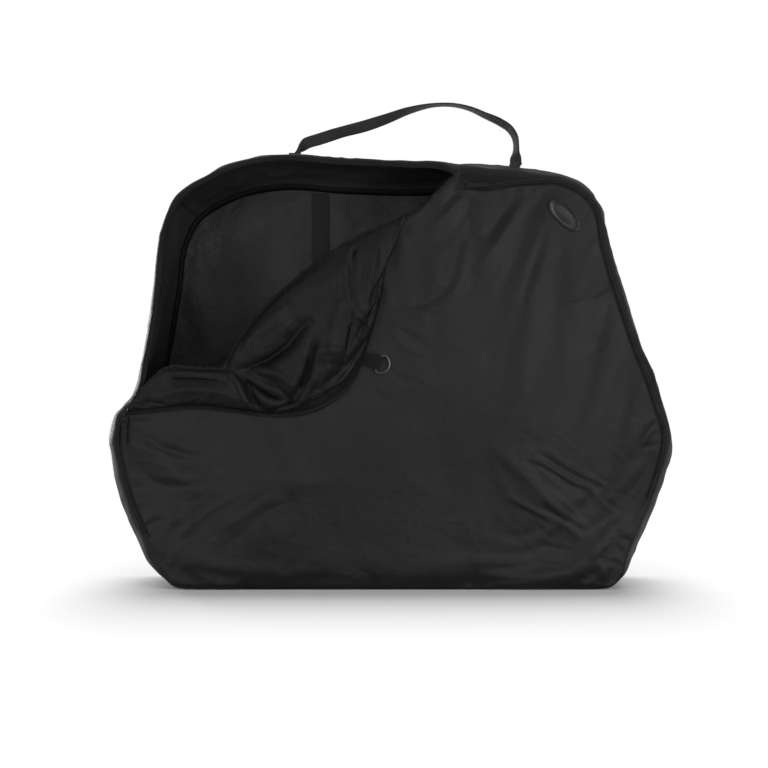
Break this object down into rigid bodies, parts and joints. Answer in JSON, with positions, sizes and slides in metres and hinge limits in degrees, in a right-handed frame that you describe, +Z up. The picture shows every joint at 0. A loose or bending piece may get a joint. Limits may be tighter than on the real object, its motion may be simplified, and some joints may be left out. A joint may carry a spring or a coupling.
{
  "type": "soft bicycle travel bag",
  "caption": "Soft upright travel bag for a bicycle, one front corner unzipped and folded forward, with a looped carry handle on top.",
  "frame": {"origin": "middle of the footprint, on the surface that the bag stands on", "axes": "+Z up, +X to the right of the front panel, the front panel facing -Y"},
  "size_m": [1.13, 0.3167, 0.9759],
  "materials": {
    "nylon": "black woven nylon, light sheen",
    "lining": "black coated lining, soft sheen",
    "webbing": "matt black woven webbing",
    "zip_coil": "black coil on woven tape",
    "metal": "grey plated metal",
    "badge": "moulded black rubber",
    "board": "black ribbed plastic sheet",
    "foam": "dark grey closed-cell foam",
    "buckle": "black moulded plastic"
  },
  "bodies": {
    "bag": {"left_gusset": "nylon", "top_gusset": "nylon", "right_gusset": "nylon", "base_panel": "nylon", "front_panel": "nylon", "back_panel": "nylon", "front_binding": "webbing", "back_binding": "webbing", "base_board": "board", "base_pad": "foam", "zip_right": "zip_coil", "zip_left": "zip_coil", "zip_half_gusset": "zip_coil", "zip_stop_right": "metal", "zip_stop_left": "metal", "handle_anchor_left": "webbing", "handle_anchor_right": "webbing", "rubber_badge": "badge", "wheel_strap": "webbing", "strap_foot": "webbing"},
    "flap": {"front_flap": "lining", "zip_half_flap": "zip_coil", "d_ring_tab": "webbing"},
    "ring": {"d_ring": "metal"},
    "handle": {"carry_handle": "webbing"},
    "slider_right": {"slider_right": "metal"},
    "slider_left": {"slider_left": "metal"},
    "pull_right": {"pull_tab_right": "metal"},
    "pull_left": {"pull_tab_left": "metal"},
    "lock": {"ladder_lock": "buckle"}
  },
  "joints": [
    {"name": "flap_fold", "type": "hinge", "parent": "bag", "child": "flap", "pos_m": [-0.44519, -0.09315, 0.43482], "axis": [-0.8305, 0, -0.557], "range_deg": [0, 80]},
    {"name": "ring_swing", "type": "hinge", "parent": "flap", "child": "ring", "pos_m": [-0.02322, -0.11165, 0.44282], "axis": [-0.3988, 0, -0.917], "range_deg": [0, 150]},
    {"name": "handle_swing", "type": "hinge", "parent": "bag", "child": "handle", "pos_m": [-0.1933, 0.02665, 0.86903], "axis": [0.9994, 0, -0.0353], "range_deg": [-80, 80]},
    {"name": "slider_right_slide", "type": "slide", "parent": "bag", "child": "slider_right", "axis": [0.9988, 0, 0.0497], "range_m": [0, 0.1]},
    {"name": "slider_left_slide", "type": "slide", "parent": "bag", "child": "slider_left", "axis": [0.0223, 0, -0.9998], "range_m": [0, 0.1]},
    {"name": "pull_right_swing", "type": "hinge", "parent": "slider_right", "child": "pull_right", "pos_m": [0.14672, -0.1046, 0.78983], "axis": [0.0497, 0, -0.9988], "range_deg": [0, 150]},
    {"name": "pull_left_swing", "type": "hinge", "parent": "slider_left", "child": "pull_left", "pos_m": [-0.52044, -0.10503, 0.32779], "axis": [-0.9998, 0, -0.0223], "range_deg": [0, 150]},
    {"name": "lock_tilt", "type": "hinge", "parent": "bag", "child": "lock", "pos_m": [-0.1469, 0.15251, 0.25079], "axis": [1, 0, 0], "range_deg": [0, 35]}
  ]
}
